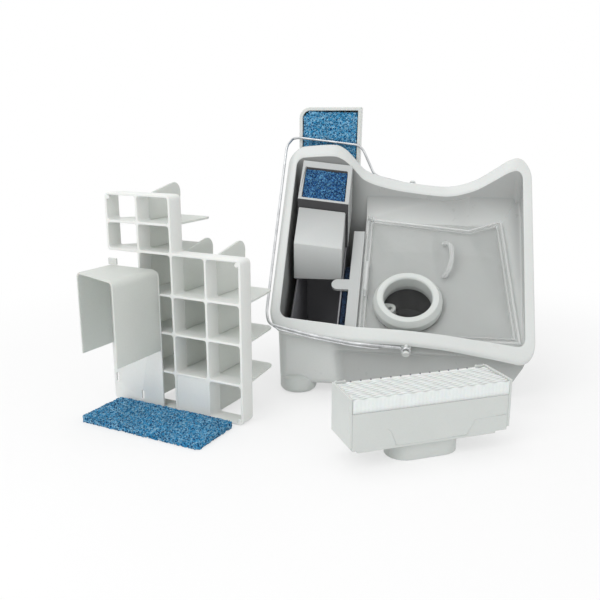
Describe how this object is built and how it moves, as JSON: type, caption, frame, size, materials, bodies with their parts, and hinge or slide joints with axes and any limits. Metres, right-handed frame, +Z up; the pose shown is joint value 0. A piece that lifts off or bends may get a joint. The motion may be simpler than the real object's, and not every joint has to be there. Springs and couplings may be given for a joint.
{
  "type": "aquarium water filter set",
  "caption": "Open filter tank with a saddle rim, clear lift-out cover, foams and wire bail, beside a celled baffle, foam pad, tall foam tray and pleated cassette.",
  "frame": {"origin": "floor point under the middle of the whole set's bounding box", "axes": "+Z up, +Y towards the back of the tank, +X towards the tank's right side, seen from its low front rim"},
  "size_m": [0.5476, 0.45, 0.367],
  "materials": {
    "pale_plastic": "satin",
    "light_plastic": "satin",
    "dark_plastic": "satin",
    "clear_plastic": "polished",
    "navy_foam": "open cell",
    "blue_foam": "open cell",
    "filter_paper": "pleated",
    "steel_wire": "drawn",
    "seal_rubber": "matte"
  },
  "bodies": {
    "tank": {"tank_shell": "pale_plastic", "tank_feet": "light_plastic", "front_pivot": "light_plastic", "back_pivot": "light_plastic", "inner_deck": "light_plastic", "suction_tube": "light_plastic", "tube_lug": "pale_plastic", "tube_end_cap": "dark_plastic", "divider": "pale_plastic", "chamber_liner": "dark_plastic", "side_foam": "navy_foam", "foam_holder": "pale_plastic"},
    "cover": {"cover_plate": "clear_plastic", "cover_handle": "clear_plastic", "side_latch": "clear_plastic", "collar": "pale_plastic", "collar_seal": "seal_rubber"},
    "bail_wire": {"bail": "steel_wire"},
    "duct": {"duct_box": "pale_plastic"},
    "window_foam": {"holder_foam": "navy_foam"},
    "tray": {"tall_tray": "pale_plastic", "tall_foam": "blue_foam"},
    "baffle": {"baffle_rows": "pale_plastic", "baffle_posts": "pale_plastic", "baffle_shelf": "pale_plastic", "baffle_ribs": "pale_plastic", "cell_plate": "light_plastic", "baffle_panel": "light_plastic", "hood": "pale_plastic", "hood_tab": "pale_plastic"},
    "cassette": {"cassette_housing": "light_plastic", "cassette_ends": "light_plastic", "cassette_neck": "light_plastic", "media_comb": "filter_paper"},
    "media": {"pleated_media": "filter_paper"},
    "pad": {"foam_pad": "blue_foam"}
  },
  "joints": [
    {"name": "bail_swing", "type": "hinge", "parent": "tank", "child": "bail_wire", "pos_m": [0.10924, -0.02905, 0.07], "axis": [0, 0.7671, 0.6416], "range_deg": [0, 90]},
    {"name": "cover_lift", "type": "slide", "parent": "tank", "child": "cover", "axis": [0, 0, 1], "range_m": [0, 0.3]},
    {"name": "duct_lift", "type": "slide", "parent": "tank", "child": "duct", "axis": [0, 0, 1], "range_m": [0, 0.1]},
    {"name": "window_foam_lift", "type": "slide", "parent": "tank", "child": "window_foam", "axis": [0, 0, 1], "range_m": [0, 0.12]},
    {"name": "tray_lift", "type": "slide", "parent": "tank", "child": "tray", "axis": [0, 0, 1], "range_m": [0, 0.1]},
    {"name": "baffle_lift", "type": "slide", "parent": "tank", "child": "baffle", "axis": [0, 0, 1], "range_m": [0, 0.1]},
    {"name": "cassette_lift", "type": "slide", "parent": "tank", "child": "cassette", "axis": [0, 0, 1], "range_m": [0, 0.06]},
    {"name": "media_lift", "type": "slide", "parent": "cassette", "child": "media", "axis": [0, 0, 1], "range_m": [0, 0.05]},
    {"name": "pad_slide", "type": "slide", "parent": "tank", "child": "pad", "axis": [-0.3256, -0.9455, 0], "range_m": [0, 0.1]}
  ]
}
